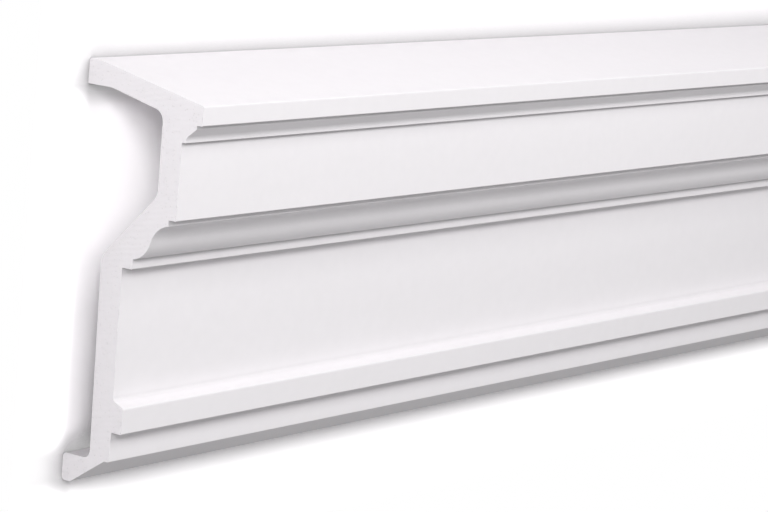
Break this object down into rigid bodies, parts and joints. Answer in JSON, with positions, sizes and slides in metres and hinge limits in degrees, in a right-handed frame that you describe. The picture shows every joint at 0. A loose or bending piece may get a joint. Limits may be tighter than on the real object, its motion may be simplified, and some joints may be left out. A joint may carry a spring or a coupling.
{
  "type": "cornice moulding",
  "caption": "Length of hollow-backed cornice moulding with a projecting crown, cavetto, cyma, two plain friezes, a bevelled base band and a hooked lower edge.",
  "frame": {"origin": "middle of the length and of the section's height, on the plane of the two wall faces it lies on", "axes": "+X along the length, +Y towards the cornice's top edge, +Z out from the wall"},
  "size_m": [2, 0.25, 0.0865],
  "materials": {
    "primed_foam": "white factory primer on rigid foam, matt, with plain sawn ends"
  },
  "bodies": {
    "root": {"cornice_moulding": "primed_foam"}
  },
  "joints": []
}
